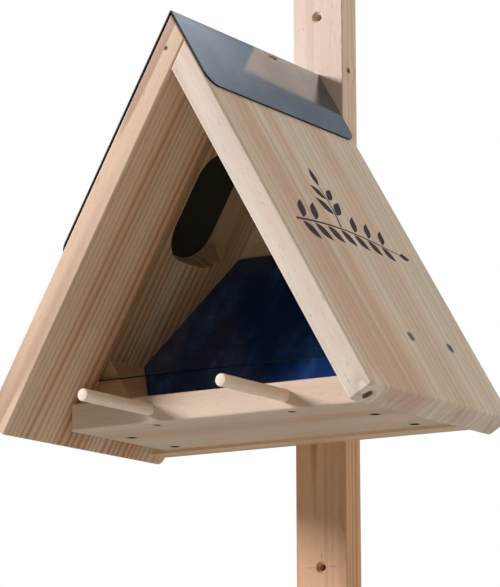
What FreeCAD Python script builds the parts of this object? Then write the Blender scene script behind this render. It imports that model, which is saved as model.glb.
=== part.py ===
import FreeCAD, Part
import math
import os

# Triangular bird feeder for seed, on a wooden mounting batten, in millimetres.
#
# Two roof boards lean together over a floor board with two perches. A clear window in saw
# cuts and a sloping chute make the seed store behind the feeding space. The store is filled
# through a slot in the left roof board, which the long arm of the loose ridge cap covers.
#
# The parts are drawn in house coordinates: x across, y backwards from the front edge of the
# roof boards, z upwards from the ridge line. The finished part is then moved so that its
# origin is on the back face of the batten, midway between the two fixing holes.

# ---- driving sizes ----
board_thickness = 18.0
roof_pitch = 60.0
slope_length = 285.0
house_depth = 176.0
edge_round = 1.5
back_corner_radius = 5.0

floor_setback = 51.0
floor_above_eaves = 7.4
floor_end_gap = 0.3
back_wall_drop = 2.0
back_wall_thickness = 18.0

strip_side = 34.6
strip_gap = 0.2

window_setback = 67.8
window_thickness = 3.0
window_above_floor = 16.4
window_top_drop = 12.0
window_groove_depth = 5.0
groove_clearance = 0.2

chute_angle = 57.5
chute_thickness = 1.5
chute_behind_window = 18.2
chute_groove_depth = 3.0

slot_from_ridge = 68.0
slot_length = 78.0
slot_behind_window = 4.0
slot_before_back_wall = 17.2
slot_corner_radius = 22.0

cap_thickness = 0.8
cap_gap = 0.5
cap_right_arm = 58.0
cap_overlap = 18.0
cap_corner_radius = 10.0
cap_bend_radius = 1.2

perch_diameter = 8.0
perch_spacing = 101.0
perch_reach = 71.5
perch_socket_depth = 24.0
perch_end_round = 0.8

batten_width = 39.0
batten_thickness = 18.0
batten_end_distance = 18.0
batten_edge_round = 1.0
fixing_spacing = 374.0
fixing_hole_diameter = 4.5
fixing_countersink_diameter = 8.5
ridge_below_top_fixing = 42.0

screw_diameter = 4.0
screw_head_diameter = 7.6
screw_head_height = 2.4
screw_length = 35.0
batten_screw_length = 30.0
small_screw_diameter = 3.0
small_screw_head_diameter = 5.6
small_screw_head_height = 1.7
small_screw_length = 12.0
screw_tip = 4.0
recess_width = 0.9
recess_depth = 1.6
recess_share = 0.62
screw_hole_clearance = 0.25

roof_screw_up = 21.0
strip_screw_front_distance = 20.0
strip_screw_back_distance = 17.0
floor_screw_shift = 6.0
left_floor_screw_inset = 16.0
right_floor_screw_inset = 24.5
ridge_screw_above_joint = 4.2
ridge_screw_front_distance = 25.0
ridge_screw_back_distance = 28.0
left_back_screw_drops = (80.0, 150.0)
right_back_screw_drops = (50.0,)
back_floor_screw_spacing = 120.0
batten_screw_drops = (90.0, 200.0)
perch_screw_setback = 8.5

# ---- levels and places that follow from them ----
pitch = math.radians(roof_pitch)
chute_slope = math.radians(chute_angle)
LEFT, RIGHT = -1, 1


def roof_point(side, along, depth, y=0.0):
    """A point that far down the slope from the ridge and that deep under the roof's outer face."""
    x = side * (math.cos(pitch) * along - math.sin(pitch) * depth)
    z = -math.sin(pitch) * along - math.cos(pitch) * depth
    return FreeCAD.Vector(x, y, z)


def inner_half_width(z, extra=0.0):
    """Half the width between the roof boards at height z, reaching extra deep into each board."""
    return (-math.cos(pitch) * z - board_thickness + extra) / math.sin(pitch)


eaves_z = roof_point(RIGHT, slope_length, board_thickness).z
floor_bottom_z = eaves_z + floor_above_eaves
floor_top_z = floor_bottom_z + board_thickness
back_wall_y = house_depth - back_wall_thickness
inner_ridge_z = roof_point(RIGHT, 0.0, 0.0).z - board_thickness / math.cos(pitch)
window_bottom_z = floor_top_z + window_above_floor
window_top_z = inner_ridge_z - window_top_drop
window_back_y = window_setback + window_thickness
strip_front_y = window_back_y + strip_gap
strip_corner_x = inner_half_width(floor_top_z)
strip_top_z = floor_top_z + strip_side * math.sin(pitch)
chute_foot_y = window_back_y + chute_behind_window
screw_rows = (strip_front_y + strip_screw_front_distance, back_wall_y - strip_screw_back_distance)
ridge_screw_drop = board_thickness * math.tan(pitch) - ridge_screw_above_joint
ridge_screw_ends = (ridge_screw_front_distance, house_depth - ridge_screw_back_distance)
ridge_screw_rows = (ridge_screw_ends[0], sum(ridge_screw_ends) / 2, ridge_screw_ends[1])
cap_left_arm = slot_from_ridge + slot_length + cap_overlap
cap_back_y = house_depth - cap_gap
batten_length = fixing_spacing + 2 * batten_end_distance
row_shift = FreeCAD.Vector(0, -(house_depth + batten_thickness), fixing_spacing / 2 - ridge_below_top_fixing)

BACKWARDS = FreeCAD.Vector(0, 1, 0)
UPWARDS = FreeCAD.Vector(0, 0, 1)


# ---- small tools for the shapes ----
def prism(corners, y_from, y_to):
    """A prism along the depth of the house with these (x, z) corners."""
    points = [FreeCAD.Vector(x, y_from, z) for x, z in corners]
    face = Part.Face(Part.makePolygon(points + points[:1]))
    return face.extrude(BACKWARDS * (y_to - y_from))


def box(x_from, x_to, y_from, y_to, z_from, z_to):
    corner = FreeCAD.Vector(x_from, y_from, z_from)
    return Part.makeBox(x_to - x_from, y_to - y_from, z_to - z_from, corner)


def flat(edge, axis, value):
    """True when the whole edge lies at this value of x, y or z."""
    low = getattr(edge.BoundBox, axis.upper() + "Min")
    high = getattr(edge.BoundBox, axis.upper() + "Max")
    return abs(low - value) < 0.01 and abs(high - value) < 0.01


def rounded(shape, radius, wanted):
    """The shape with each edge that wanted() picks rounded off."""
    return shape.makeFillet(radius, [edge for edge in shape.Edges if wanted(edge)])


def grouped(solids):
    """Separate solids of one kind, kept together as one sub-part."""
    return solids[0] if len(solids) == 1 else Part.makeCompound(solids)


def cut_all(shape, tools):
    for tool in tools:
        shape = shape.cut(tool)
    return shape


# ---- screws ----
class Screw:
    """A countersunk cross-head wood screw, its head flush at one point."""

    def __init__(self, head_at, direction, length=screw_length, small=False):
        self.head_at = head_at
        self.direction = direction
        self.length = length
        self.radius = (small_screw_diameter if small else screw_diameter) / 2
        self.head_radius = (small_screw_head_diameter if small else screw_head_diameter) / 2
        self.head_height = small_screw_head_height if small else screw_head_height

    def envelope(self, clearance=0.0):
        """The room the screw takes: head cone, shank and tip."""
        radius = self.radius + clearance
        head_end = self.head_at + self.direction * self.head_height
        tip_start = self.head_at + self.direction * (self.length - screw_tip)
        shank_length = self.length - screw_tip - self.head_height
        head = Part.makeCone(self.head_radius, radius, self.head_height, self.head_at, self.direction)
        shank = Part.makeCylinder(radius, shank_length, head_end, self.direction)
        tip = Part.makeCone(radius, radius / 4, screw_tip, tip_start, self.direction)
        return head.fuse(shank).fuse(tip).removeSplitter()

    def solid(self):
        """The screw itself, with its cross recess."""
        reach = self.head_radius * recess_share
        body = self.envelope()
        for long_x in (True, False):
            half_x = reach if long_x else recess_width / 2
            half_y = recess_width / 2 if long_x else reach
            blade = box(-half_x, half_x, -half_y, half_y, -recess_depth, recess_depth)
            blade.Placement = FreeCAD.Placement(self.head_at, FreeCAD.Rotation(UPWARDS, self.direction))
            body = body.cut(blade)
        return body

    def clearance_hole(self):
        """The countersunk hole in the piece that the screw passes through."""
        return self.envelope(screw_hole_clearance)


def inwards(side):
    """Unit vector at right angles into a roof board."""
    return roof_point(side, 0.0, 1.0)


def strip_screws(side):
    along = (-floor_top_z - board_thickness * math.cos(pitch)) / math.sin(pitch) - roof_screw_up
    return [Screw(roof_point(side, along, 0.0, y), inwards(side)) for y in screw_rows]


def floor_screws(side):
    inset = left_floor_screw_inset if side == LEFT else right_floor_screw_inset
    x = side * (strip_corner_x - inset)
    rows = [y + floor_screw_shift for y in screw_rows]
    return [Screw(FreeCAD.Vector(x, y, floor_bottom_z), UPWARDS) for y in rows]


def ridge_screws():
    return [Screw(roof_point(LEFT, ridge_screw_drop, 0.0, y), inwards(LEFT)) for y in ridge_screw_rows]


def back_edge_screws(side):
    drops = left_back_screw_drops if side == LEFT else right_back_screw_drops
    y = house_depth - back_wall_thickness / 2
    return [Screw(roof_point(side, drop, 0.0, y), inwards(side)) for drop in drops]


def back_floor_screws():
    z = floor_top_z - board_thickness / 2
    places = [side * back_floor_screw_spacing / 2 for side in (LEFT, RIGHT)]
    return [Screw(FreeCAD.Vector(x, house_depth, z), -BACKWARDS) for x in places]


def batten_screws():
    y = house_depth + batten_thickness
    return [Screw(FreeCAD.Vector(0, y, -drop), -BACKWARDS, batten_screw_length) for drop in batten_screw_drops]


def perch_screw(side):
    place = FreeCAD.Vector(side * perch_spacing / 2, floor_setback + perch_screw_setback, floor_bottom_z)
    return Screw(place, UPWARDS, small_screw_length, small=True)


# ---- window and chute, and the saw cuts that hold them ----
def window_outline(bottom, top, reach):
    low, high = inner_half_width(bottom, reach), inner_half_width(top, reach)
    return [(-low, bottom), (low, bottom), (high, top), (-high, top)]


def seed_window():
    """Clear pane held in a saw cut in each roof board."""
    outline = window_outline(window_bottom_z, window_top_z, window_groove_depth - groove_clearance)
    return prism(outline, window_setback, window_back_y)


def window_groove():
    """Saw cut for the pane, open at the ridge joint and stopped under the pane."""
    bottom = window_bottom_z - groove_clearance
    top = inner_ridge_z + window_groove_depth / math.cos(pitch) - 0.01
    outline = window_outline(bottom, top, window_groove_depth)
    return prism(outline, window_setback - groove_clearance / 2, window_back_y + groove_clearance / 2)


def chute_sheet(reach, top_extra, thickness, lift):
    """A sheet on the slope of the chute, between the strips below and in the roof boards above."""
    rise, run = math.sin(chute_slope), math.cos(chute_slope)
    back_shift = chute_thickness / math.tan(chute_slope)

    def height(distance):
        return floor_top_z + distance * rise

    def strip_half_width(distance):
        """Half the width between the strips, at the lower side of the sheet."""
        side_slope = math.sin(pitch) / (1 - math.cos(pitch))
        return strip_corner_x - strip_side + (distance - back_shift) * rise / side_slope - groove_clearance

    def place(x, distance):
        return FreeCAD.Vector(x, chute_foot_y + distance * run, height(distance))

    foot = back_shift
    neck = (strip_top_z - floor_top_z) / rise
    shoulder = neck + back_shift + groove_clearance
    top = (back_wall_y - chute_foot_y - chute_thickness * rise) / run + top_extra
    half = [(strip_half_width(foot), foot),
            (strip_half_width(neck), neck),
            (strip_half_width(neck), shoulder),
            (inner_half_width(height(shoulder), reach), shoulder),
            (inner_half_width(height(top), reach), top)]
    points = [place(x, distance) for x, distance in half]
    points += [place(-x, distance) for x, distance in reversed(half)]
    out = FreeCAD.Vector(0, -rise, run)
    points = [point + out * lift for point in points]
    return Part.Face(Part.makePolygon(points + points[:1])).extrude(-out * thickness)


def seed_chute():
    """Smooth sheet that slides the seed forwards, in a saw cut in each roof board."""
    return chute_sheet(chute_groove_depth - groove_clearance, 0.0, chute_thickness, 0.0)


def chute_groove():
    """Saw cut for the chute's upper edges."""
    width = chute_thickness + groove_clearance
    return chute_sheet(chute_groove_depth, 1.0, width, groove_clearance / 2)


# ---- wooden pieces ----
def roof_blank(side):
    """A roof board with rounded edges. The right board butts against the inside of the left one."""
    ridge = (0.0, 0.0)
    joint_top = (board_thickness / (2 * math.sin(pitch)), -board_thickness / (2 * math.cos(pitch)))
    joint_bottom = (0.0, inner_ridge_z)
    outer_eave = roof_point(side, slope_length, 0.0)
    inner_eave = roof_point(side, slope_length, board_thickness)
    eave = [(outer_eave.x, outer_eave.z), (inner_eave.x, inner_eave.z)]
    if side == LEFT:
        corners = [ridge, eave[0], eave[1], joint_top]
    else:
        corners = [joint_top, eave[0], eave[1], joint_bottom]
    board = prism(corners, 0.0, house_depth)
    middle_z = (outer_eave.z + inner_eave.z) / 2
    half_height = abs(outer_eave.z - inner_eave.z) / 2 + 0.1

    def at_eave(edge):
        return abs(edge.CenterOfMass.z - middle_z) < half_height

    board = rounded(board, back_corner_radius, lambda e: flat(e, "y", house_depth) and at_eave(e))
    return rounded(board, edge_round, lambda e: flat(e, "y", 0.0) or flat(e, "y", house_depth) or at_eave(e))


def filler_slot():
    """The room that the filling slot takes in the left roof board."""
    y_from = window_back_y + slot_behind_window
    y_to = back_wall_y - slot_before_back_wall
    corners = [roof_point(LEFT, along, 0.0, y)
               for along, y in ((slot_from_ridge, y_from), (slot_from_ridge + slot_length, y_from),
                                (slot_from_ridge + slot_length, y_to), (slot_from_ridge, y_to))]
    start = inwards(LEFT) * -1.0
    corners = [corner + start for corner in corners]
    block = Part.Face(Part.makePolygon(corners + corners[:1])).extrude(inwards(LEFT) * (board_thickness + 2.0))
    radius = min(slot_corner_radius, (y_to - y_from) / 2 - 0.1, slot_length / 2 - 0.1)
    depth = board_thickness + 2.0
    return rounded(block, radius, lambda e: e.BoundBox.YLength < 0.01 and abs(e.Length - depth) < 0.01)


def roof_board(side):
    board = roof_blank(side)
    tools = [window_groove(), chute_groove()]
    tools += [screw.clearance_hole() for screw in strip_screws(side) + back_edge_screws(side)]
    if side == LEFT:
        tools += [filler_slot()] + [screw.clearance_hole() for screw in ridge_screws()]
    else:
        tools += [screw.envelope() for screw in ridge_screws()]
    return cut_all(board, tools)


def floor_board():
    """Square-cut board between the roof boards, with a socket for each perch in its front edge."""
    half = inner_half_width(floor_top_z) - floor_end_gap
    board = box(-half, half, floor_setback, back_wall_y, floor_bottom_z, floor_top_z)
    board = rounded(board, edge_round, lambda e: flat(e, "y", floor_setback))
    tools = [perch_blank(side) for side in (LEFT, RIGHT)]
    for side in (LEFT, RIGHT):
        tools += [screw.clearance_hole() for screw in floor_screws(side)]
        tools.append(perch_screw(side).clearance_hole())
    tools += [screw.envelope() for screw in back_floor_screws()]
    return cut_all(board, tools)


def back_wall():
    """Triangular board that closes the house behind the seed store."""
    bottom = floor_bottom_z - back_wall_drop
    half = inner_half_width(bottom)
    wall = prism([(-half, bottom), (half, bottom), (0.0, inner_ridge_z)], back_wall_y, house_depth)
    tools = [screw.envelope() for side in (LEFT, RIGHT) for screw in back_edge_screws(side)]
    tools += [screw.clearance_hole() for screw in back_floor_screws()]
    tools += [screw.envelope() for screw in batten_screws()]
    return cut_all(wall, tools)


def corner_strip(side):
    """Triangular strip in the corner between the floor and a roof board."""
    foot = (side * (strip_corner_x - strip_side), floor_top_z)
    top = (side * (strip_corner_x - strip_side * math.cos(pitch)), strip_top_z)
    strip = prism([(side * strip_corner_x, floor_top_z), foot, top], strip_front_y, back_wall_y)
    return cut_all(strip, [screw.envelope() for screw in strip_screws(side) + floor_screws(side)])


def perch_blank(side):
    """Round rod, glued into the front edge of the floor board."""
    middle_z = floor_top_z - board_thickness / 2
    start = FreeCAD.Vector(side * perch_spacing / 2, floor_setback - perch_reach, middle_z)
    length = perch_reach + perch_socket_depth
    rod = Part.makeCylinder(perch_diameter / 2, length, start, BACKWARDS)
    return rounded(rod, perch_end_round, lambda e: flat(e, "y", start.y))


def perch(side):
    return perch_blank(side).cut(perch_screw(side).envelope())


def mounting_batten():
    """Batten behind the house, with a countersunk fixing hole near each end."""
    top = batten_end_distance + fixing_spacing / 2 - row_shift.z
    half = batten_width / 2
    y_from, y_to = house_depth, house_depth + batten_thickness
    batten = box(-half, half, y_from, y_to, top - batten_length, top)
    batten = rounded(batten, batten_edge_round, lambda e: not flat(e, "y", y_to))
    tools = [screw.clearance_hole() for screw in batten_screws()]
    radius = fixing_hole_diameter / 2
    sink_radius = fixing_countersink_diameter / 2
    for drop in (batten_end_distance, batten_length - batten_end_distance):
        place = FreeCAD.Vector(0, y_from, top - drop)
        tools.append(Part.makeCylinder(radius, batten_thickness, place, BACKWARDS))
        tools.append(Part.makeCone(sink_radius, radius, sink_radius - radius, place, BACKWARDS))
    return cut_all(batten, tools)


# ---- metal cap ----
def ridge_cap():
    """Bent sheet that lies over the ridge: a long arm over the filling slot and a short one."""
    outside = cap_gap + cap_thickness

    def line(depth):
        left, right = roof_point(LEFT, cap_left_arm, -depth), roof_point(RIGHT, cap_right_arm, -depth)
        return [(left.x, left.z), (0.0, depth / math.cos(pitch)), (right.x, right.z)]

    profile = line(outside) + line(cap_gap)[::-1]
    cap = prism(profile, 0.0, cap_back_y)
    corner_length = cap_thickness + 0.01
    cap = rounded(cap, cap_corner_radius, lambda e: e.Length < corner_length and e.BoundBox.YLength < 0.01)
    bend_z = outside / math.cos(pitch)
    return rounded(cap, cap_bend_radius, lambda e: flat(e, "z", bend_z) and e.Length > cap_back_y / 2)


def screw_set(screws):
    return grouped([screw.solid() for screw in screws])


# ---- all pieces ----
pieces = {
    "left_roof_board": roof_board(LEFT),
    "right_roof_board": roof_board(RIGHT),
    "floor_board": floor_board(),
    "back_wall": back_wall(),
    "left_corner_strip": corner_strip(LEFT),
    "right_corner_strip": corner_strip(RIGHT),
    "seed_window": seed_window(),
    "seed_chute": seed_chute(),
    "left_perch": perch(LEFT),
    "right_perch": perch(RIGHT),
    "ridge_cap": ridge_cap(),
    "mounting_batten": mounting_batten(),
    "left_strip_screws": screw_set(strip_screws(LEFT)),
    "right_strip_screws": screw_set(strip_screws(RIGHT)),
    "left_floor_screws": screw_set(floor_screws(LEFT)),
    "right_floor_screws": screw_set(floor_screws(RIGHT)),
    "left_back_screws": screw_set(back_edge_screws(LEFT)),
    "right_back_screw": screw_set(back_edge_screws(RIGHT)),
    "back_floor_screws": screw_set(back_floor_screws()),
    "ridge_screws": screw_set(ridge_screws()),
    "batten_screws": screw_set(batten_screws()),
    "left_perch_screw": screw_set([perch_screw(LEFT)]),
    "right_perch_screw": screw_set([perch_screw(RIGHT)]),
}

os.makedirs("parts", exist_ok=True)
for name, shape in pieces.items():
    shape = shape.translated(row_shift)
    if not shape.isValid():
        print("not valid:", name)
    shape.exportStep(os.path.join("parts", name + ".step"))
    print(f"{name:20s} solids {len(shape.Solids)}  volume {shape.Volume / 1000:9.3f} cm3")
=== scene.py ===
# %% [markdown]
# # A kit bird feeder, finished in Blender
# The feeder is a small house of pine boards: two roof boards, a floor with two perches, a clear
# window with a blue chute behind it, and a loose steel cap over the ridge. A batten carries it.
# The design model already has every size, so this lesson adds what a drawing leaves out: the
# grain of each board, the dents of the sheet metal, the threads of the screws and the light.

# %% Load the design model
from math import atan2, cos, pi, radians, sin

import bmesh
import bpy
from mathutils import Matrix, Vector, noise


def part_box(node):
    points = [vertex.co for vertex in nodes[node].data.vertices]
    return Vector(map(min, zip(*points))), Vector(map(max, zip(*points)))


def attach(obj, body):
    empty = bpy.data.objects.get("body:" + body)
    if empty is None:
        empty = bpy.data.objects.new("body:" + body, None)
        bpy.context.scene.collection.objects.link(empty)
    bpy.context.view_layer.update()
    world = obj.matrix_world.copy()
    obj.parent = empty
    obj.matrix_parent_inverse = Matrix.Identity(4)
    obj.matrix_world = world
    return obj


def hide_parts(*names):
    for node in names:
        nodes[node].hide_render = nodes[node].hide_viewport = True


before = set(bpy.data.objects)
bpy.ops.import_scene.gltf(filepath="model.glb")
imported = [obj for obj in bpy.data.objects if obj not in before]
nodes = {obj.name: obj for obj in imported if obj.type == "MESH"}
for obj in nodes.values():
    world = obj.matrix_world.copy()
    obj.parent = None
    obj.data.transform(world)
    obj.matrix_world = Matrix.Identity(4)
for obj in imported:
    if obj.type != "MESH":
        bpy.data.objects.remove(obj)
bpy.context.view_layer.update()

# %% [markdown]
# ## The house's own directions
# The roof boards lean at 60 degrees, so "down the slope" and "out of the board" are worth two
# named directions. Every place on the roof is then a distance from the ridge, in metres.

# %% Places on the roof
MM = 0.001
PITCH = radians(60)
LEFT, RIGHT = -1, 1
ridge_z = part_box("left_roof_board")[1].z
front_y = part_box("left_roof_board")[0].y
back_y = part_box("left_roof_board")[1].y


def slope(side):
    """Unit vector down the slope of one roof board, which is also the way its grain runs."""
    return Vector((side * cos(PITCH), 0, -sin(PITCH)))


def outwards(side):
    """Unit vector out of a roof board's outer face."""
    return Vector((side * sin(PITCH), 0, cos(PITCH)))


def on_roof(side, along, out, y):
    """A point so far down the slope from the ridge, so far out of the board, and at this y."""
    return Vector((0, y, ridge_z)) + slope(side) * along + outwards(side) * out


print("ridge at z =", round(ridge_z, 4), "roof from y =", round(front_y, 4), "to", round(back_y, 4))

# %% [markdown]
# ## Colours and nodes
# Paint charts give colours as sRGB hex values. Shaders add light, so they need linear numbers,
# and one function turns the first into the second. A second one adds a shader node: it sets
# the node's choices, fills or links its inputs, and hands the node back for the next one.


# %% Colour and node helpers
def linear(hex_colour):
    """An sRGB hex value as the linear colour that a shader works with."""
    parts = [int(hex_colour[i:i + 2], 16) / 255 for i in (1, 3, 5)]
    return tuple(c / 12.92 if c <= 0.04045 else ((c + 0.055) / 1.055) ** 2.4 for c in parts) + (1.0,)


def add(tree, kind, inputs=None, stops=(), **choices):
    """One shader node: its choices, its inputs by name or number, and a ramp's stops."""
    made = tree.nodes.new("ShaderNode" + kind)
    for name, value in choices.items():
        setattr(made, name, value)
    for name, value in (inputs or {}).items():
        socket = made.inputs[name]
        if isinstance(value, bpy.types.Node):
            value = next(s for s in value.outputs if s.enabled)
        if isinstance(value, bpy.types.NodeSocket):
            tree.links.new(value, socket)
        else:
            socket.default_value = linear(value) if isinstance(value, str) else value
    for number, (place, colour) in enumerate(stops):
        ramp = made.color_ramp.elements
        stop = ramp[number] if number < len(ramp) else ramp.new(1.0)
        stop.position, stop.color = place, linear(colour)
    return made


def new_material(name):
    """An empty material, and the tree to build in."""
    material = bpy.data.materials.new(name)
    material.use_nodes = True
    material.node_tree.nodes.clear()
    return material, material.node_tree


print("white is", linear("#FFFFFF")[:3])

# %% [markdown]
# ## Planed pine
# Pine grows a pale, soft ring in spring and a thin, dark, hard one in summer. A board is cut
# out of those rings, so its faces show lines, its ends show arcs, and a board that isn't quite
# in line with the trunk shows flames. The cheap way is a stripe pattern on each face, but then
# the edges don't match. Here the rings fill the wood: the pattern is the distance from the
# trunk's middle line, so faces, edges, ends and holes all agree.
#
# The same tree of nodes does for every board. What differs is where the trunk's middle lay,
# which way the grain runs, how far apart the rings are, and the tone of that board.

# %% Wood
FIBRE = 0.8 * MM        # real fibres are far finer: this is the finest streak that shows
FLECK = 0.6 * MM        # width of a resin canal, drawn a little coarse for the same reason
ONE_WAVE = 2 * pi / 20  # the Wave Texture's scale that gives one ring in each metre
NOISE_MIDDLE = (0.5, 0.5, 0.5)  # noise colours lie round this, so it is taken off a stray
GRAIN_TURNS = {"across": (0, 0, 0), "back": (0, 0, -pi / 2), "up": (0, pi / 2, 0),
               "left slope": (0, atan2(slope(LEFT).z, slope(LEFT).x), 0),
               "right slope": (0, atan2(slope(RIGHT).z, slope(RIGHT).x), 0)}


def wood(name, grain, trunk, ring, spring, summer, blush, lean=(0, 0, 0), wander=3.0, knots=(),
         contrast=0.5, roughness=0.62, flecks=0.4, seed=0.0, painted_shade_span=None):
    """Solid wood with its rings round a trunk line.

    grain is a key of GRAIN_TURNS, and trunk a point that the trunk's middle passes. ring is the
    ring spacing and wander how far rings stray, in mm. spring, summer and blush are the pale
    wood, the line and the warmer stripes, and contrast how much of the line shows. lean tips the
    trunk a little, for flames. flecks is how dark the resin canals are, and seed moves the noise,
    so that no two boards match. painted_shade_span is where along the grain, in metres, painted
    shade starts and where it is full: there the wood is painted warmer and its lines bolder.
    """
    material, tree = new_material(name)
    where = add(tree, "TexCoord")
    turned = add(tree, "Mapping", {0: where.outputs["Object"], "Rotation": GRAIN_TURNS[grain]})
    middle = Matrix.Identity(3)
    for axis, angle in zip("XYZ", GRAIN_TURNS[grain]):
        middle = Matrix.Rotation(angle, 3, axis) @ middle
    centred = add(tree, "Mapping", {0: turned, "Location": -(middle @ Vector(trunk))})
    board = add(tree, "Mapping", {0: centred, "Rotation": lean})

    # Knots push the rings aside, and are dark, with a ragged edge.
    knot_mask, bent = None, board
    for point, radius in knots:
        centre = middle @ Vector(point) - middle @ Vector(trunk)
        offset = add(tree, "VectorMath", {0: centred, 1: centre}, operation="SUBTRACT")
        rough = add(tree, "TexNoise", {"Vector": centred, "Scale": 1 / (2.5 * MM)})
        reach = add(tree, "VectorMath", {0: offset}, operation="LENGTH").outputs["Value"]
        ragged = add(tree, "Math", {0: rough, 1: radius * 0.9, 2: reach}, operation="MULTIPLY_ADD")
        near = add(tree, "MapRange", {"Value": reach, "From Min": radius * 0.6, "From Max": radius * 6.0,
                                      "To Min": 0.8, "To Max": 0.0}, interpolation_type="SMOOTHERSTEP")
        pull = add(tree, "VectorMath", {0: offset, "Scale": near}, operation="SCALE")
        bent = add(tree, "VectorMath", {0: bent, 1: pull}, operation="SUBTRACT")
        spot = add(tree, "MapRange", {"Value": ragged, "From Min": radius * 1.15, "From Max": radius * 1.6,
                                      "To Min": 1.0, "To Max": 0.0}, interpolation_type="SMOOTHSTEP")
        if knot_mask is not None:
            spot = add(tree, "Math", {0: knot_mask, 1: spot}, operation="MAXIMUM")
        knot_mask = spot

    # Rings stray slowly along the grain and a little faster across it.
    slow = add(tree, "Mapping", {0: board, "Location": (seed, 0, 0), "Scale": (2.5, 14, 14)})
    stray = add(tree, "TexNoise", {"Vector": slow, "Scale": 1.0, "Detail": 2.0})
    stray = add(tree, "VectorMath", {0: stray.outputs["Color"], 1: NOISE_MIDDLE}, operation="SUBTRACT")
    stray = add(tree, "VectorMath", {0: stray, "Scale": wander * 4 * MM}, operation="SCALE")
    ringed = add(tree, "VectorMath", {0: bent, 1: stray}, operation="ADD")

    # Good and bad years make rings wide and narrow.
    uneven = add(tree, "TexNoise", {"Vector": add(tree, "Mapping", {0: board, "Scale": (0.8, 55, 55)}),
                                    "Scale": 1.0, "Detail": 0.0})
    uneven = add(tree, "VectorMath", {0: uneven.outputs["Color"], 1: NOISE_MIDDLE}, operation="SUBTRACT")
    uneven = add(tree, "VectorMath", {0: uneven, "Scale": 3.0 * ring * MM}, operation="SCALE")
    ringed = add(tree, "VectorMath", {0: ringed, 1: uneven}, operation="ADD")
    rings = add(tree, "TexWave", {"Vector": ringed, "Scale": ONE_WAVE / (ring * MM), "Distortion": 0.0},
                wave_type="RINGS", rings_direction="X", wave_profile="SAW")
    years = add(tree, "TexNoise", {"Vector": add(tree, "Mapping", {0: ringed, "Scale": (0.5, 45, 45)}),
                                   "Scale": 1.0, "Detail": 1.0})
    line = add(tree, "MapRange", {"Value": rings.outputs["Fac"], "From Min": 0.30, "From Max": 0.93},
               interpolation_type="SMOOTHSTEP")
    edge = add(tree, "MapRange", {"Value": rings.outputs["Fac"], "From Min": 0.93, "From Max": 1.0,
                                  "To Min": 1.0, "To Max": 0.25})
    bold = add(tree, "MapRange", {"Value": years, "From Min": 0.35, "From Max": 0.70,
                                  "To Min": contrast * 0.25, "To Max": contrast})
    drawn = add(tree, "Math", {0: line, 1: edge}, operation="MULTIPLY")
    drawn = add(tree, "Math", {0: drawn, 1: bold}, operation="MULTIPLY")

    # Warmer stripes, as wide as a finger, run the length of the board.
    stripes = add(tree, "TexNoise", {"Vector": add(tree, "Mapping", {0: ringed, "Location": (seed, seed, 0),
                                                                     "Scale": (1.2, 22, 22)}), "Scale": 1.0})
    stripe = add(tree, "MapRange", {"Value": stripes, "From Min": 0.42, "From Max": 0.66},
                 interpolation_type="SMOOTHSTEP")
    # Painted shade: towards the batten's lower end, where the house's shadow falls, the wood is painted
    # warmer and its lines bolder; higher up its lines are painted at half strength.
    if painted_shade_span:
        along = add(tree, "SeparateXYZ", {0: turned}).outputs["X"]
        core = add(tree, "MapRange", {"Value": along, "From Min": painted_shade_span[0], "From Max": painted_shade_span[1]},
                   interpolation_type="SMOOTHSTEP")
        stripe = add(tree, "Math", {0: stripe, 1: core}, operation="MAXIMUM")
        painted_shade_line_gain = add(tree, "Math", {0: core, 1: 1.2, 2: 0.5}, operation="MULTIPLY_ADD")
        drawn = add(tree, "Math", {0: drawn, 1: painted_shade_line_gain}, operation="MULTIPLY")
    ground = add(tree, "Mix", {0: stripe, 6: spring, 7: blush}, data_type="RGBA")
    colour = add(tree, "Mix", {0: drawn, 6: ground.outputs[2], 7: summer}, data_type="RGBA").outputs[2]

    # Fibres: fine streaks that catch the light, in the colour and as a shallow relief.
    fibres = add(tree, "TexNoise", {"Vector": add(tree, "Mapping", {0: board, "Scale": (0.05, 1, 1)}),
                                    "Scale": 1 / FIBRE, "Detail": 3.0, "Roughness": 0.6})
    shade = add(tree, "MapRange", {"Value": fibres, "From Min": 0.25, "From Max": 0.75, "To Min": 0.90,
                                   "To Max": 1.06})
    cloud = add(tree, "TexNoise", {"Vector": add(tree, "Mapping", {0: board, "Scale": (8, 30, 30)}),
                                   "Scale": 1.0, "Detail": 3.0})
    cloudy = add(tree, "MapRange", {"Value": cloud, "From Min": 0.3, "From Max": 0.7, "To Min": 0.94,
                                    "To Max": 1.04})
    shade = add(tree, "Math", {0: shade, 1: cloudy}, operation="MULTIPLY")
    colour = add(tree, "VectorMath", {0: colour, "Scale": shade}, operation="SCALE")

    # Resin canals: short dark dashes, here and there.
    dashes = add(tree, "TexNoise", {"Vector": add(tree, "Mapping", {0: board, "Location": (seed, 0.3, 0),
                                                                    "Scale": (0.12, 1, 1)}),
                                    "Scale": 0.8 / FLECK, "Detail": 0.0})
    dash = add(tree, "MapRange", {"Value": dashes, "From Min": 0.74, "From Max": 0.82, "To Max": flecks})
    colour = add(tree, "Mix", {0: dash, 6: colour, 7: "#7C5032"}, data_type="RGBA").outputs[2]
    if knot_mask is not None:
        colour = add(tree, "Mix", {0: knot_mask, 6: colour, 7: "#5A2E1C"}, data_type="RGBA").outputs[2]

    relief = add(tree, "Math", {0: drawn, 1: 0.35, 2: fibres}, operation="MULTIPLY_ADD")
    bump = add(tree, "Bump", {"Strength": 0.35, "Distance": 0.12 * MM, "Height": relief})
    dull = add(tree, "MapRange", {"Value": fibres, "To Min": roughness - 0.08, "To Max": roughness + 0.08})
    finish = add(tree, "BsdfPrincipled", {"Base Color": colour, "Roughness": dull, "Normal": bump,
                                          "IOR": 1.5, "Specular IOR Level": 0.35})
    add(tree, "OutputMaterial", {"Surface": finish})
    return material
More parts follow.
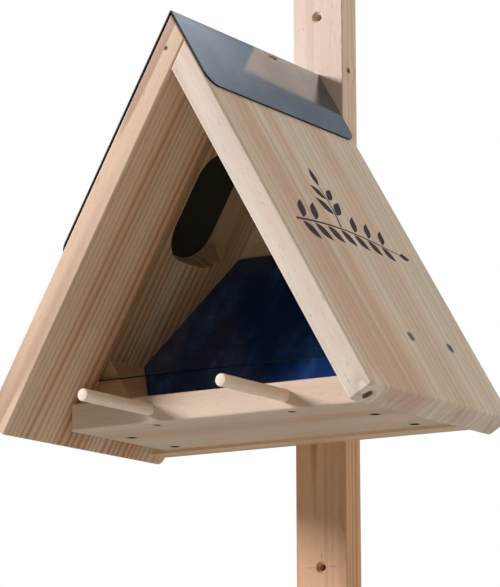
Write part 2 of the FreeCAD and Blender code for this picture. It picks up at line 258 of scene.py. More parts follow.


# %% [markdown]
# ## A tone and a trunk for each board
# Boards in a kit come from different trees. The left roof board has bold, straight lines, as
# wood has when it is cut from the side of the trunk. The right one leans and has wider rings, so
# its stripes are broad and soft. The back wall has the widest rings, and the corner strips the
# closest. The batten has a knot in its side, and towards its lower end it is painted warmer and
# darker: painted shade for the shadow that the house casts on it.

# %% Give every board its wood
batten_low, batten_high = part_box("mounting_batten")
floor_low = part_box("floor_board")[0]

WOODS = {
    "left_roof_board": wood(
        "planed_pine_left_roof", "left slope", on_roof(LEFT, 0.14, -9 * MM, front_y - 150 * MM), 5.6,
        "#DABC98", "#8A5430", "#CFA47A", lean=(0, 0.006, 0.014), wander=2.2, contrast=0.78, seed=0.0,
        knots=[(on_roof(LEFT, 21 * MM, -8 * MM, front_y), 1.5 * MM)]),
    "right_roof_board": wood(
        "planed_pine_right_roof", "right slope", on_roof(RIGHT, 0.14, -20 * MM, front_y - 95 * MM), 8.0,
        "#D9CAB2", "#AE9176", "#CFAE92", lean=(0, 0.010, 0.016), wander=3.4, contrast=0.5, seed=2.0,
        knots=[(on_roof(RIGHT, 285 * MM, -10 * MM, front_y + 9 * MM), 4.0 * MM)]),
    "floor_board": wood(
        "planed_pine_floor", "across", Vector((0, floor_low.y - 120 * MM, floor_low.z + 9 * MM)), 4.0,
        "#D2BA9C", "#B08C68", "#CAAA86", lean=(0, 0.006, 0.0), wander=1.4, contrast=0.35, seed=4.0),
    "back_wall": wood(
        "planed_pine_back_wall", "across", Vector((0, back_y + 30 * MM, ridge_z - 160 * MM)), 9.0,
        "#DCC09A", "#B0824F", "#D3AC80", lean=(0, 0.02, 0.03), wander=3.0, contrast=0.3, seed=6.0),
    "left_corner_strip": wood(
        "planed_pine_left_strip", "back", Vector((-70 * MM, 0, floor_low.z - 20 * MM)), 2.6,
        "#D8B98E", "#AE7F50", "#CDA373", seed=8.0),
    "right_corner_strip": wood(
        "planed_pine_right_strip", "back", Vector((95 * MM, 0, floor_low.z - 25 * MM)), 2.6,
        "#D8B98E", "#AE7F50", "#CDA373", seed=9.0),
    # The batten's lower end is painted warmer and darker, as painted shade for the house's shadow on it.
    "mounting_batten": wood(
        "planed_pine_batten", "up", Vector((-24 * MM, batten_high.y + 75 * MM, 0)), 5.4,
        "#E6CCB0", "#A87648", "#D2A67C", lean=(0.006, 0.006, 0), wander=1.8, contrast=0.5, seed=11.0,
        flecks=0.3, painted_shade_span=(-0.03, -0.10),
        knots=[(Vector((batten_high.x, batten_low.y + 8 * MM, ridge_z + 3 * MM)), 2.2 * MM)]),
}
for node_name, material in WOODS.items():
    nodes[node_name].data.materials.clear()
    nodes[node_name].data.materials.append(material)
print("woods:", ", ".join(m.name for m in WOODS.values()))

# %% [markdown]
# ## Birch dowel
# The perches are sanded birch: paler than pine, with fine even grain and no flames. The rings
# are a millimetre and a half apart, and only a little darker than the wood between them.

# %% Dowel wood
birch = wood("sanded_birch_dowel", "back", Vector((30 * MM, 0, floor_low.z - 30 * MM)), 1.5,
             "#F4E6D0", "#DCC2A0", "#EAD4B6", wander=1.0, roughness=0.55, flecks=0.25, seed=14.0)
print("dowel:", birch.name)

# %% [markdown]
# ## Galvanised sheet for the cap
# Smooth zinc-coated steel is a dull mirror: it shows the light and the batten behind it, but
# blurred. Rolling leaves a faint brushing along the sheet, and the zinc has cloudy patches. A
# metal's colour is its reflection, so the base colour is a light blue grey, metallic is 1 and
# the IOR keeps its default. Dents come later, from the mesh. The back of the sheet and its cut
# edges are painted close to black: painted shade for the dark under the cap.


# %% Cap metal
def galvanised_sheet():
    """Smooth zinc-coated steel with faint rolling marks and cloudy patches."""
    material, tree = new_material("smooth_galvanised_steel")
    where = add(tree, "TexCoord").outputs["Object"]
    clouds = add(tree, "TexNoise", {"Vector": where, "Scale": 1 / (45 * MM), "Detail": 3.0,
                                    "Roughness": 0.55})
    cloud = add(tree, "MapRange", {"Value": clouds, "From Min": 0.38, "From Max": 0.62},
                interpolation_type="SMOOTHSTEP")
    tone = add(tree, "ValToRGB", {0: cloud}, stops=[(0.0, "#93A0AA"), (1.0, "#A2AEB8")])
    rolled = add(tree, "TexNoise", {"Vector": add(tree, "Mapping", {0: where, "Scale": (1, 0.03, 1)}),
                                    "Scale": 1 / (0.9 * MM), "Detail": 2.0})
    shine = add(tree, "MapRange", {"Value": rolled, "From Min": 0.3, "From Max": 0.7, "To Min": 0.07,
                                   "To Max": 0.12})
    bump = add(tree, "Bump", {"Strength": 0.10, "Distance": 0.02 * MM, "Height": rolled})
    finish = add(tree, "BsdfPrincipled", {"Base Color": tone, "Metallic": 1.0, "Roughness": shine,
                                          "Normal": bump})
    add(tree, "OutputMaterial", {"Surface": finish})
    return material


def cap_back_painted_shade():
    """Painted shade for the back of the sheet and its cut edges: close to black, and hardly shiny."""
    material, tree = new_material("cap_back_painted_near_black")
    where = add(tree, "TexCoord").outputs["Object"]
    back_mottle = add(tree, "TexNoise", {"Vector": where, "Scale": 1 / (14 * MM), "Detail": 1.0})
    # Painted shade: near-black tones, for the dark under the cap.
    tone = add(tree, "ValToRGB", {0: back_mottle}, stops=[(0.3, "#12140E"), (0.7, "#191C15")])
    dull = add(tree, "MapRange", {"Value": back_mottle, "To Min": 0.45, "To Max": 0.65})
    finish = add(tree, "BsdfPrincipled", {"Base Color": tone, "Roughness": dull, "Specular IOR Level": 0.2})
    add(tree, "OutputMaterial", {"Surface": finish})
    return material


steel_sheet, steel_back_painted_shade = galvanised_sheet(), cap_back_painted_shade()
print("cap:", steel_sheet.name, "and", steel_back_painted_shade.name)

# %% [markdown]
# ## Clear acrylic
# The window is a 3 mm cast acrylic pane, polished on its faces and sawn on its edges. Glass
# that bends light stops lamps, so what is behind it would be too dark: rays from lamps pass it
# straight, through a transparent shader. The sawn edge is painted close to black, as painted
# shade, so it shows as a thin dark line round the clear pane.


# %% Window materials
def clear_acrylic():
    """Polished acrylic that lets lamps through."""
    material, tree = new_material("clear_cast_acrylic")
    solid = add(tree, "BsdfPrincipled", {"Base Color": "#F4F8F6", "Roughness": 0.02, "IOR": 1.2,
                                         "Transmission Weight": 1.0})
    open_way = add(tree, "BsdfTransparent", {"Color": "#E6EDEA"})
    rays = add(tree, "LightPath")
    mixed = add(tree, "MixShader", {0: rays.outputs["Is Shadow Ray"], 1: solid, 2: open_way})
    add(tree, "OutputMaterial", {"Surface": mixed})
    return material


def sawn_edge_painted_shade():
    """The pane's matt edge, painted near-black as painted shade, with the saw's fine lines across it."""
    material, tree = new_material("sawn_edge_painted_near_black")
    where = add(tree, "TexCoord").outputs["Object"]
    teeth = add(tree, "TexNoise", {"Vector": add(tree, "Mapping", {0: where, "Scale": (1, 0.1, 1)}),
                                   "Scale": 1 / (0.8 * MM), "Detail": 2.0})
    # Painted shade: near-black tones, so the edge shows as a thin dark line.
    tone = add(tree, "ValToRGB", {0: teeth}, stops=[(0.3, "#050707"), (0.7, "#101516")])
    bump = add(tree, "Bump", {"Strength": 0.4, "Distance": 0.1 * MM, "Height": teeth})
    finish = add(tree, "BsdfPrincipled", {"Base Color": tone, "Roughness": 0.45, "IOR": 1.49,
                                          "Specular IOR Level": 0.1, "Normal": bump})
    add(tree, "OutputMaterial", {"Surface": finish})
    return material


acrylic, pane_edge_painted_shade = clear_acrylic(), sawn_edge_painted_shade()
print("window:", acrylic.name, "and", pane_edge_painted_shade.name)

# %% [markdown]
# ## Blue coated sheet
# Seed slides on a smooth sheet with a glossy dark blue coat. Seed and dust have rubbed it, so
# it has soft pale smears and fine scratches. A low roughness and a thin coat layer give the
# gloss, and the smears are rougher, paler patches.


# %% Chute coat
def blue_coat():
    """Glossy dark blue coating with smears and hair scratches."""
    material, tree = new_material("blue_coated_sheet_rubbed")
    where = add(tree, "TexCoord").outputs["Object"]
    aslant = add(tree, "Mapping", {0: where, "Rotation": (0, 0, 0.5), "Scale": (26, 16, 16)})
    smears = add(tree, "TexNoise", {"Vector": aslant, "Scale": 1.0, "Detail": 6.0, "Roughness": 0.68})
    smear = add(tree, "MapRange", {"Value": smears, "From Min": 0.42, "From Max": 0.80},
                interpolation_type="SMOOTHSTEP")
    drift = add(tree, "TexNoise", {"Vector": where, "Scale": 1 / (38 * MM), "Detail": 1.0})
    off_line = add(tree, "Math", {0: drift, 1: 0.47}, operation="SUBTRACT")
    off_line = add(tree, "Math", {0: off_line}, operation="ABSOLUTE")
    hair = add(tree, "MapRange", {"Value": off_line, "From Min": 0.0, "From Max": 0.004, "To Min": 0.5,
                                  "To Max": 0.0})
    hair = add(tree, "Math", {0: hair, 1: smear}, operation="MULTIPLY")
    tone = add(tree, "Mix", {0: smear, 6: "#042A5C", 7: "#3566A6"}, data_type="RGBA").outputs[2]
    tone = add(tree, "Mix", {0: hair, 6: tone, 7: "#8FA0BC"}, data_type="RGBA").outputs[2]
    dull = add(tree, "MapRange", {"Value": smear, "To Min": 0.16, "To Max": 0.36})
    finish = add(tree, "BsdfPrincipled", {"Base Color": tone, "Roughness": dull, "IOR": 1.5,
                                          "Specular IOR Level": 0.25, "Coat Weight": 0.15,
                                          "Coat Roughness": 0.1})
    add(tree, "OutputMaterial", {"Surface": finish})
    return material


blue_sheet = blue_coat()
nodes["seed_chute"].data.materials.clear()
nodes["seed_chute"].data.materials.append(blue_sheet)
print("chute:", blue_sheet.name)

# %% [markdown]
# ## Small finishes
# Zinc-plated screws are grey and satin, the print on the roof is one thin layer of matt dark
# aubergine ink, and pencil marks are graphite. Each is too small for a pattern of its own, so
# one function gives all three: two close tones in fine grains, and the same grains as relief.


# %% Screw, ink and pencil materials
def satin(name, low, high, grain_size, roughness, metallic=0.0):
    """A small part's finish: two close tones in grains of one size, in mm."""
    material, tree = new_material(name)
    where = add(tree, "TexCoord").outputs["Object"]
    grains = add(tree, "TexNoise", {"Vector": where, "Scale": 1 / (grain_size * MM), "Detail": 3.0})
    tone = add(tree, "ValToRGB", {0: grains}, stops=[(0.35, low), (0.65, high)])
    dull = add(tree, "MapRange", {"Value": grains, "To Min": roughness - 0.1, "To Max": roughness + 0.1})
    bump = add(tree, "Bump", {"Strength": 0.15, "Distance": 0.03 * MM, "Height": grains})
    finish = add(tree, "BsdfPrincipled", {"Base Color": tone, "Metallic": metallic, "Roughness": dull,
                                          "Normal": bump})
    add(tree, "OutputMaterial", {"Surface": finish})
    return material


zinc = satin("zinc_plated_steel", "#96928A", "#BCB8B0", 0.9, 0.42, metallic=1.0)
ink = satin("aubergine_pad_print_ink", "#220E1C", "#301624", 0.8, 0.75)
graphite = satin("pencil_graphite", "#6A6560", "#8C867E", 0.8, 0.5)
print("small finishes:", zinc.name, ink.name, graphite.name)

# %% [markdown]
# ## From bmesh to piece
# Each new piece is shaped in a bmesh and handed to one function. It gives the piece its
# materials and body, shades it smooth but keeps edges over 32 degrees crisp, and hides the
# design nodes that the piece takes the place of.


# %% Finish a piece
CRISP = radians(32)


def finish_piece(name, bm, materials, body="house", replaced=()):
    """Makes a bmesh an object that rides on a body. Its place is in its mesh."""
    mesh = bpy.data.meshes.new(name)
    bm.to_mesh(mesh)
    bm.free()
    for face in mesh.polygons:
        face.use_smooth = True
    mesh.set_sharp_from_angle(angle=CRISP)
    for material in materials:
        mesh.materials.append(material)
    piece = bpy.data.objects.new(name, mesh)
    bpy.context.scene.collection.objects.link(piece)
    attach(piece, body)
    if replaced:
        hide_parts(*replaced)
    print(f"{name}: {len(mesh.polygons)} faces")


def soften(bm, edges, width, segments=2):
    """Rounds edges over by a small radius."""
    bmesh.ops.bevel(bm, geom=edges, offset=width, segments=segments, profile=0.5, affect="EDGES",
                    clamp_overlap=True, material=-1)


# %% [markdown]
# ## Perches
# A perch is a dowel, cut to length and sanded at its end. It is a small outline spun round the
# dowel's middle line: flat end, rounded rim, long side, and the plain cut at the bottom of its
# socket. The dowel machine leaves the long side a few hundredths of a millimetre uneven, and
# that keeps it from looking like plastic.


# %% Spin a perch
PERCH_RIM = 0.9 * MM
UNEVEN = 0.03 * MM
UNEVEN_PLACES = 14


def perch(side_name):
    """A dowel with a sanded end, as long and as thick as the design's."""
    low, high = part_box(side_name + "_perch")
    radius = (high.x - low.x) / 2
    middle = (low + high) / 2
    length = high.y - low.y
    shoulder, straight = radius - PERCH_RIM, length - 2 * PERCH_RIM
    outline = [(0, 0), (shoulder, 0)]
    for angle in (pi / 6, pi / 3, pi / 2):
        outline.append((shoulder + PERCH_RIM * sin(angle), PERCH_RIM - PERCH_RIM * cos(angle)))
    for step in range(1, UNEVEN_PLACES):
        outline.append((radius - UNEVEN * (1 + sin(step * 2.1)), PERCH_RIM + straight * step / UNEVEN_PLACES))
    outline += [(radius, length), (0, length)]
    bm = bmesh.new()
    row = [bm.verts.new((middle.x + r, low.y + y, middle.z)) for r, y in outline]
    edges = [bm.edges.new(pair) for pair in zip(row, row[1:])]
    bmesh.ops.spin(bm, geom=row + edges, cent=middle, axis=(0, 1, 0), angle=2 * pi, steps=40, use_merge=True)
    bmesh.ops.remove_doubles(bm, verts=bm.verts, dist=0.01 * MM)
    bmesh.ops.recalc_face_normals(bm, faces=bm.faces)
    finish_piece(side_name + "_perch_dowel", bm, [birch], replaced=[side_name + "_perch"])


perch("left")
perch("right")

# %% [markdown]
# ## Ridge cap
# The cap is one sheet, bent along the ridge, with its corners snipped round. It starts as a bent
# line of three points, extruded to the depth of the house. The outline's corners and the bend
# are bevelled, cuts across it make a grid, and thin sheet is never flat, so the grid is pushed
# in and out by a fraction of a millimetre. That is what makes its reflections wander. Last it
# is given its thickness, downwards, and every face that doesn't look out gets the back's
# near-black painted shade.

# %% Shape the cap
cap_low, cap_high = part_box("ridge_cap")
SHEET = 0.8 * MM
CAP_GAP = 0.5 * MM
CORNER = 10 * MM
BEND = 1.6 * MM
GRID = 7.5 * MM
GRID_CUTS = range(1, 24)
DENT = 0.16 * MM
QUIVER = 0.012 * MM
cap_rise = CAP_GAP + SHEET
arm_lengths = {LEFT: -cap_low.x / cos(PITCH) + cap_rise * sin(PITCH) / cos(PITCH),
               RIGHT: cap_high.x / cos(PITCH) - cap_rise * sin(PITCH) / cos(PITCH)}


def wavy(point, normal):
    """Where a point of the sheet really is: off its true plane by a sixth of a millimetre at most."""
    push = noise.noise(point / (70 * MM)) * DENT + noise.noise(point / (22 * MM)) * QUIVER
    return point + normal * push


def cut_across(bm, place, normal):
    """Cuts all of a mesh along one plane, and keeps both halves."""
    bmesh.ops.bisect_plane(bm, geom=bm.verts[:] + bm.edges[:] + bm.faces[:], plane_co=place, plane_no=normal)


def cap_sheet():
    """The bent sheet, as one closed shell."""
    bm = bmesh.new()
    left_end = on_roof(LEFT, arm_lengths[LEFT], cap_rise, cap_low.y)
    right_end = on_roof(RIGHT, arm_lengths[RIGHT], cap_rise, cap_low.y)
    top = Vector((0, cap_low.y, ridge_z + cap_rise / cos(PITCH)))
    line = [bm.verts.new(point) for point in (left_end, top, right_end)]
    edges = [bm.edges.new(pair) for pair in zip(line, line[1:])]
    made = bmesh.ops.extrude_edge_only(bm, edges=edges)["geom"]
    moved = [v for v in made if isinstance(v, bmesh.types.BMVert)]
    bmesh.ops.translate(bm, verts=moved, vec=(0, cap_high.y - cap_low.y, 0))
    corners = [v for v in bm.verts if len(v.link_edges) == 2]
    bmesh.ops.bevel(bm, geom=corners, offset=CORNER, segments=7, profile=0.5, affect="VERTICES", material=-1)
    ridge = [e for e in bm.edges if all(abs(v.co.x) < 0.1 * MM for v in e.verts)]
    soften(bm, ridge, BEND, segments=4)
    for side in (LEFT, RIGHT):
        for number in GRID_CUTS:
            cut_across(bm, on_roof(side, number * GRID, 0, 0), slope(side))
    for number in GRID_CUTS:
        cut_across(bm, (0, cap_low.y + number * GRID, 0), (0, 1, 0))
    bmesh.ops.recalc_face_normals(bm, faces=bm.faces)
    if sum(f.normal.z for f in bm.faces) < 0:
        bmesh.ops.reverse_faces(bm, faces=bm.faces)
    for vert in bm.verts:
        side = RIGHT if vert.co.x > 0 else LEFT
        away_from_bend = min(1.0, abs(vert.co.x) / (12 * MM))
        vert.co = wavy(vert.co, outwards(side) * away_from_bend)
    bmesh.ops.solidify(bm, geom=bm.faces[:], thickness=SHEET)
    bm.normal_update()
    # Faces that don't look out, the back and the cut edges, get the near-black painted shade.
    for face in bm.faces:
        side = RIGHT if face.calc_center_median().x > 0 else LEFT
        face.material_index = 0 if face.normal.dot(outwards(side)) > 0.5 else 1
    finish_piece("folded_ridge_cap", bm, [steel_sheet, steel_back_painted_shade], body="cap",
                 replaced=["ridge_cap"])


cap_sheet()

# %% [markdown]
# ## Window pane
# The pane's outline is already right in the design, so a merged copy of that node is the
# quickest start. Its cut edges get the sawn finish, painted near-black as painted shade, and a
# small bevel breaks every corner.


# %% Pane from the design node
def copied_node(node_name):
    """A bmesh copy of a design node, with its loose triangles merged into clean faces."""
    bm = bmesh.new()
    bm.from_mesh(nodes[node_name].data)
    bmesh.ops.remove_doubles(bm, verts=bm.verts, dist=0.005 * MM)
    bmesh.ops.dissolve_limit(bm, angle_limit=radians(1), verts=bm.verts, edges=bm.edges)
    return bm


def window_pane():
    """The pane, with sawn edges painted near-black as painted shade, and its sharp corners broken."""
    bm = copied_node("seed_window")
    # Faces that look neither front nor back are the cut edges, with the near-black painted shade.
    for face in bm.faces:
        face.material_index = 0 if abs(face.normal.y) > 0.9 else 1
    soften(bm, bm.edges[:], 0.25 * MM, segments=1)
    finish_piece("acrylic_window_pane", bm, [acrylic, pane_edge_painted_shade],
                 replaced=["seed_window"])


window_pane()

# %% [markdown]
# ## Screws
# Every screw is a countersunk cross-head wood screw. The flat of the head is a small grid: its
# middle cells are pushed down and drawn together, which makes the tapered cross. The extrude
# keeps the cells it started from, so those are deleted, or they would cover the cross. The grid
# is bridged to the round rim, and the rim is extruded down the cone and the shank to the tip.
# The thread is a triangle spun with a rise on each step. The design nodes say where each screw
# sits, how long it is and how wide its head is, so they are measured first.


# %% Measure the screws in a node
def islands(bm):
    """The separate solids of a bmesh, each as a list of vertices."""
    left = set(bm.verts)
    found = []
    while left:
        island, edge_of_search = [], [left.pop()]
        while edge_of_search:
            vert = edge_of_search.pop()
            island.append(vert)
            for other in {e.other_vert(vert) for e in vert.link_edges} & left:
                left.remove(other)
                edge_of_search.append(other)
        found.append(island)
    return found


def screw_places(node_name, into):
    """Each head's middle, with its screw's length and head radius. into is the way it is driven."""
    bm = copied_node(node_name)
    across = into.orthogonal().normalized()
    other = into.cross(across)
    places = []
    for island in islands(bm):
        spans = [(min(v.co @ axis for v in island), max(v.co @ axis for v in island))
                 for axis in (into, across, other)]
        (start, end), (a, b), (c, d) = spans
        places.append((into * start + across * (a + b) / 2 + other * (c + d) / 2, end - start, (b - a) / 2))
    bm.free()
    # The islands come in no fixed order. Sorted by place, each head is turned alike in every run.
    return sorted(places, key=lambda screw: tuple(round(v, 4) for v in screw[0]))


# %% Model a screw
HEAD_LINES = [-0.72, -0.60, -0.13, 0.13, 0.60, 0.72]    # all in head radii
CROSS_REACH, CROSS_HALF = 0.62, 0.15
CROSS_TAPER, CROSS_DEPTH = 0.55, 0.38
THREAD_START, THREAD_END = 0.33, 0.93                   # in screw lengths


def screw_head(bm, radius):
    """The head's flat with its tapered cross, out to the rim. Returns the rim's edges."""
    grid = bmesh.ops.create_grid(bm, x_segments=5, y_segments=5, size=1.0)["verts"]
    for vert in grid:
        for axis in (0, 1):
            vert.co[axis] = radius * HEAD_LINES[round((vert.co[axis] + 1) * 2.5)]
    border = [e for e in bm.edges if len(e.link_faces) == 1]
    reach, half = CROSS_REACH * radius, CROSS_HALF * radius
    cross = [f for f in bm.faces if max(abs(v.co.x) for v in f.verts) < reach
             and max(abs(v.co.y) for v in f.verts) < reach
             and min(abs(f.calc_center_median().x), abs(f.calc_center_median().y)) < half]
    pushed = bmesh.ops.extrude_face_region(bm, geom=cross)["geom"]
    bmesh.ops.delete(bm, geom=cross, context="FACES")
    floor_verts = [v for v in pushed if isinstance(v, bmesh.types.BMVert)]
    bmesh.ops.scale(bm, verts=floor_verts, vec=(CROSS_TAPER, CROSS_TAPER, 1))
    bmesh.ops.translate(bm, verts=floor_verts, vec=(0, 0, -CROSS_DEPTH * radius))
    rim = bmesh.ops.create_circle(bm, segments=20, radius=radius)["verts"]
    rim_edges = [e for e in bm.edges if all(v in rim for v in e.verts)]
    bmesh.ops.bridge_loops(bm, edges=border + rim_edges)
    return rim_edges


def screw_body(bm, rim_edges, steps):
    """Extrudes the rim down through (radius, depth) steps and closes the tip."""
    edges, radius, depth = rim_edges, steps[0][0], 0.0
    for next_radius, next_depth in steps[1:]:
        made = bmesh.ops.extrude_edge_only(bm, edges=edges)["geom"]
        verts = [v for v in made if isinstance(v, bmesh.types.BMVert)]
        edges = [e for e in made if isinstance(e, bmesh.types.BMEdge) and all(v in verts for v in e.verts)]
        bmesh.ops.scale(bm, verts=verts, vec=(next_radius / radius, next_radius / radius, 1))
        bmesh.ops.translate(bm, verts=verts, vec=(0, 0, depth - next_depth))
        radius, depth = next_radius, next_depth
    bmesh.ops.contextual_create(bm, geom=edges)


def screw_thread(bm, core, crest, top, bottom, rise):
    """A ridge that winds down the shank, from one depth to another."""
    turns = (bottom - top) / rise
    steps = round(turns * 14)
    corners = [(core * 0.9, top), (crest, top + rise * 0.22), (core * 0.9, top + rise * 0.44)]
    verts = [bm.verts.new((r, 0, -z)) for r, z in corners]
    face = bm.faces.new(verts)
    bmesh.ops.spin(bm, geom=verts + list(face.edges) + [face], cent=(0, 0, 0), axis=(0, 0, 1),
                   dvec=(0, 0, -(bottom - top) / steps), angle=2 * pi * turns, steps=steps)


def wood_screw(length, head_radius):
    """One screw along -Z with its head's flat at the origin, as a mesh to copy."""
    flat, shank, core = head_radius * 0.97, head_radius * 0.52, head_radius * 0.37
    chamfer, cone = head_radius * 0.06, head_radius * 0.63
    thread_top, thread_bottom = length * THREAD_START, length * THREAD_END
    bm = bmesh.new()
    rim_edges = screw_head(bm, flat)
    screw_body(bm, rim_edges, [(flat, 0), (head_radius, chamfer), (shank, cone), (shank, length * 0.3),
                               (core, thread_top), (core, length * 0.88), (core * 0.2, length)])
    screw_thread(bm, core, shank, thread_top, thread_bottom, head_radius * 0.42)
    bmesh.ops.recalc_face_normals(bm, faces=bm.faces)
    mesh = bpy.data.meshes.new("screw_pattern")
    bm.to_mesh(mesh)
    bm.free()
    return mesh


# %% Put every screw in
def screw_set(node_name, into):
    """All the screws of one design node, as one piece."""
    bm = bmesh.new()
    for number, (place, length, head_radius) in enumerate(screw_places(node_name, into)):
        pattern = wood_screw(length, head_radius)
        old = len(bm.verts)
        bm.from_mesh(pattern)
        bm.verts.ensure_lookup_table()
        turn = (-into).to_track_quat("Z", "Y").to_matrix() @ Matrix.Rotation(0.5 + 0.9 * number, 3, "Z")
        bmesh.ops.transform(bm, matrix=Matrix.Translation(place) @ turn.to_4x4(), verts=bm.verts[old:])
        bpy.data.meshes.remove(pattern)
    finish_piece(node_name + "_threaded", bm, [zinc], replaced=[node_name])


UP, FORWARD = Vector((0, 0, 1)), Vector((0, -1, 0))
SCREWS = {"left_strip_screws": -outwards(LEFT), "right_strip_screws": -outwards(RIGHT),
          "left_back_screws": -outwards(LEFT), "right_back_screw": -outwards(RIGHT),
          "ridge_screws": -outwards(LEFT), "left_floor_screws": UP, "right_floor_screws": UP,
          "left_perch_screw": UP, "right_perch_screw": UP, "back_floor_screws": FORWARD,
          "batten_screws": FORWARD}
for node_name, into in SCREWS.items():
    screw_set(node_name, into)

# %% [markdown]
# ## The print on the roof
# A sprig of leaves is printed on the right roof board in one colour of ink. Each leaf is a
# circle, stretched and pinched to an almond, and turned to lean along the stem or the twig that
# stands on it. Small gaps keep the leaves off the stem, as in a stencil. The whole print is
# drawn flat, given the thickness of the ink, and then laid on the slope by one matrix.

# %% Draw the sprig
INK = 0.08 * MM
STEM = 1.6 * MM
STEM_START, STEM_END, STEM_STEPS = 20 * MM, 142 * MM, 26
LEAF_GAP = 0.9 * MM
TWIG_HEIGHT, TWIG_BEND = 32 * MM, 2.5 * MM


def leaf(bm, base, angle, length, width):
    """An almond leaf from its base point, flat in the drawing."""
    rim = bmesh.ops.create_circle(bm, segments=18, radius=0.5, cap_ends=True)["verts"]
    for vert in rim:
        vert.co.y = (1 if vert.co.y > 0 else -1) * 0.5 * cos(pi * vert.co.x) * (1.0 - 0.35 * vert.co.x)
    spread = Matrix.Diagonal((length, width, 1, 1))
    turn = Matrix.Rotation(angle, 4, "Z")
    shift = Matrix.Translation((0.5 + LEAF_GAP / length, 0, 0))
    bmesh.ops.transform(bm, matrix=Matrix.Translation((*base, 0)) @ turn @ spread @ shift, verts=rim)


def stem(bm, points, width):
    """A flat strip along some points, tapering to its end."""
    count = len(points)
    row = [bm.verts.new((*point, 0)) for point in points]
    edges = [bm.edges.new(pair) for pair in zip(row, row[1:])]
    made = bmesh.ops.extrude_edge_only(bm, edges=edges)["geom"]
    moved = [v for v in made if isinstance(v, bmesh.types.BMVert)]
    for number, (low, high) in enumerate(zip(row, sorted(moved, key=lambda v: v.co.x))):
        half = width / 2 * (1 - 0.6 * number / (count - 1))
        before, after = points[max(number - 1, 0)], points[min(number + 1, count - 1)]
        across = Vector((before[1] - after[1], after[0] - before[0], 0)).normalized() * half
        high.co = low.co + across
        low.co = low.co - across


def on_stem(share):
    """The place on the drawing at a share of the stem's length."""
    return (STEM_START + (STEM_END - STEM_START) * share, 6 * MM * sin(pi * (0.1 + 0.9 * share)) - 2 * MM)


def on_twig(share):
    """The same for the twig, which grows up from the middle of the stem."""
    foot = on_stem(0.47)
    return (foot[0] + TWIG_BEND * sin(3 * share), foot[1] + STEM + TWIG_HEIGHT * share)


def sprig():
    """The printed sprig, laid on the right roof board."""
    bm = bmesh.new()
    stem(bm, [on_stem(k / STEM_STEPS) for k in range(STEM_STEPS + 1)], STEM)
    for number in range(7):
        share = 0.05 + 0.13 * number
        size = 19 * MM * (1.0 - 0.25 * share)
        above, below = on_stem(share + 0.03), on_stem(share)
        if number not in (2, 3):
            leaf(bm, (above[0], above[1] + STEM * 0.5), 1.05, size, size * 0.42)
        leaf(bm, (below[0], below[1] - STEM * 0.5), -0.70, size * 0.95, size * 0.46)
    leaf(bm, on_stem(1.0), -0.15, 12 * MM, 5 * MM)

    # The twig and its leaves.
    for share in (0.30, 0.68):
        x, y = on_twig(share)
        size = 18 * MM * (1.1 - 0.4 * share)
        leaf(bm, (x + STEM * 0.5, y), 0.80, size, size * 0.42)
        leaf(bm, (x - STEM * 0.5, y), pi - 0.65, size, size * 0.42)
    leaf(bm, on_twig(1.0), pi / 2, 15 * MM, 6.5 * MM)
    upright = bmesh.ops.create_grid(bm, x_segments=1, y_segments=8, size=0.5)["verts"]
    for vert in upright:
        share = vert.co.y + 0.5
        x, y = on_twig(share)
        vert.co.x, vert.co.y = vert.co.x * STEM * (1 - 0.5 * share) + x, y
    made = bmesh.ops.extrude_face_region(bm, geom=bm.faces[:])["geom"]
    raised = [v for v in made if isinstance(v, bmesh.types.BMVert)]
    bmesh.ops.translate(bm, verts=raised, vec=(0, 0, INK * 1.6))
    bmesh.ops.recalc_face_normals(bm, faces=bm.faces)
    origin = on_roof(RIGHT, 158 * MM, -INK * 0.6, front_y)
    axes = Matrix((Vector((0, 1, 0)), -slope(RIGHT), outwards(RIGHT))).transposed()
    bmesh.ops.transform(bm, matrix=Matrix.Translation(origin) @ axes.to_4x4(), verts=bm.verts)
    finish_piece("printed_leaf_sprig", bm, [ink])


sprig()

# %% [markdown]
# ## Pencil marks
# Before the lower fixing hole was drilled, its place was marked with a pencil cross, and the
# marks are still there. Each is a strip as thin as graphite on wood.


# %% Mark the lower hole
HOLE_TO_END = 18 * MM       # from the lower fixing hole's middle to the batten's end
PENCIL_LINE = 0.35 * MM
PENCIL_DEPTH = 0.06 * MM


def pencil_marks():
    """A line on each side of the lower fixing hole, and a short one above it."""
    bm = bmesh.new()
    hole = Vector((0, batten_low.y, batten_low.z + HOLE_TO_END))
    strips = [((-8 * MM, 0), (6 * MM, PENCIL_LINE)), ((8 * MM, 0), (6 * MM, PENCIL_LINE)),
              ((0, 7.5 * MM), (PENCIL_LINE, 4 * MM))]
    for (offset_x, offset_z), (width, height) in strips:
        strip = bmesh.ops.create_cube(bm, size=1)["verts"]
        bmesh.ops.scale(bm, verts=strip, vec=(width, PENCIL_DEPTH, height))
        bmesh.ops.translate(bm, verts=strip, vec=hole + Vector((offset_x, 0, offset_z)))
    finish_piece("pencil_marks_at_lower_hole", bm, [graphite])


pencil_marks()

# %% [markdown]
# ## Floor, light and camera
# A pale floor well below, a large soft lamp on the left in front, a weak warm one on the right,
# a weak one below for the light that a floor throws back, and a room that is white behind and
# overhead and dim in front. The camera stands low in front on the right and looks up at the
# house, against plain white.


# %% Stage
def stage_floor():
    """A plain pale floor, well below the batten."""
    bm = bmesh.new()
    bmesh.ops.create_grid(bm, x_segments=1, y_segments=1, size=20.0)
    bmesh.ops.translate(bm, verts=bm.verts, vec=(0, 0, -3.2))
    mesh = bpy.data.meshes.new("studio_floor")
    bm.to_mesh(mesh)
    bm.free()
    material, tree = new_material("matt_studio_floor")
    finish = add(tree, "BsdfPrincipled", {"Base Color": "#C4C5C8", "Roughness": 0.9})
    add(tree, "OutputMaterial", {"Surface": finish})
    mesh.materials.append(material)
    floor = bpy.data.objects.new("studio_floor", mesh)
    bpy.context.scene.collection.objects.link(floor)


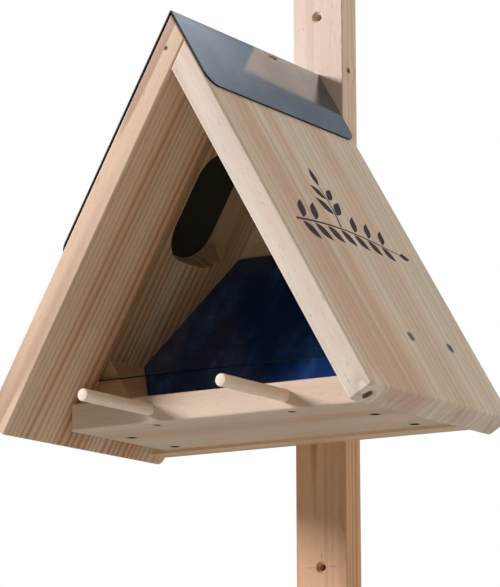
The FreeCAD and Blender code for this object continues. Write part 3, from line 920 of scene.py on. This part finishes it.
def lamp(name, place, target, size, power, colour):
    """A square soft lamp that points at the target."""
    light = bpy.data.lights.new(name, "AREA")
    light.size = size
    light.energy = power
    light.color = linear(colour)[:3]
    holder = bpy.data.objects.new(name, light)
    holder.matrix_world = (Matrix.Translation(place)
                           @ (Vector(target) - Vector(place)).to_track_quat("-Z", "Y").to_matrix().to_4x4())
    bpy.context.scene.collection.objects.link(holder)


def white_room():
    """A room that is white behind and overhead and dim in front, with a white background."""
    world = bpy.data.worlds.new("white_studio")
    world.use_nodes = True
    world.node_tree.nodes.clear()
    tree = world.node_tree
    way = add(tree, "SeparateXYZ", {0: add(tree, "TexCoord").outputs["Generated"]})
    behind = add(tree, "Math", {0: way.outputs["X"], 1: 0.85, 2: way.outputs["Y"]}, operation="MULTIPLY_ADD")
    side = add(tree, "MapRange", {"Value": behind, "From Min": -0.45, "From Max": 0.55},
               interpolation_type="SMOOTHSTEP")
    overhead = add(tree, "MapRange", {"Value": way.outputs["Z"], "From Min": 0.70, "From Max": 0.88,
                                      "To Max": 0.8}, interpolation_type="SMOOTHSTEP")
    side = add(tree, "Math", {0: side, 1: overhead}, operation="MAXIMUM")
    height = add(tree, "ValToRGB", {0: way.outputs["Z"]}, stops=[
        (0.0, "#DEDAD6"), (0.46, "#B9BABD"), (0.545, "#85888E"), (0.585, "#8E9197"), (0.62, "#F0F2F6"),
        (1.0, "#EEEEEE")])
    tone = add(tree, "Mix", {0: side, 6: "#4A3E34", 7: height}, data_type="RGBA").outputs[2]
    rays = add(tree, "LightPath")
    room = add(tree, "Background", {"Color": tone, "Strength": 1.0})
    white = add(tree, "Background", {"Color": "#FFFFFF", "Strength": 1.0})
    mixed = add(tree, "MixShader", {0: rays.outputs["Is Camera Ray"], 1: room, 2: white})
    add(tree, "OutputWorld", {"Surface": mixed})
    bpy.context.scene.world = world


stage_floor()
house_middle = Vector((0, (front_y + back_y) / 2, 20 * MM))
lamp("key_lamp", (-2.48, -2.14, 1.13), house_middle, 0.8, 177, "#E8E8F6")
lamp("warm_fill_lamp", (2.2, 0.7, 0.6), house_middle, 1.2, 10, "#FFE9D6")
lamp("floor_bounce_lamp", (0.3, -1.2, -1.9), house_middle, 1.6, 11, "#F6F2F6")
white_room()
bpy.context.scene.view_settings.view_transform = "Standard"


# %% Camera
def studio_camera():
    """A long lens, low on the right in front, turned up towards the house."""
    azimuth, elevation, roll = radians(32.79), radians(-11.19), radians(-0.15)
    distance = 1.6431
    target = Vector((0.05832, front_y, ridge_z - 0.18495))
    back = Vector((sin(azimuth) * cos(elevation), -cos(azimuth) * cos(elevation), sin(elevation)))
    turn = (-back).to_track_quat("-Z", "Y").to_matrix() @ Matrix.Rotation(roll, 3, "Z")
    lens = bpy.data.cameras.new("studio_camera")
    lens.sensor_fit, lens.sensor_width, lens.lens = "HORIZONTAL", 36.0, 197.2
    camera = bpy.data.objects.new("studio_camera", lens)
    camera.matrix_world = Matrix.Translation(target + back * distance) @ turn.to_4x4()
    bpy.context.scene.collection.objects.link(camera)
    bpy.context.scene.camera = camera
    return camera


print("camera at", tuple(round(v, 3) for v in studio_camera().location))
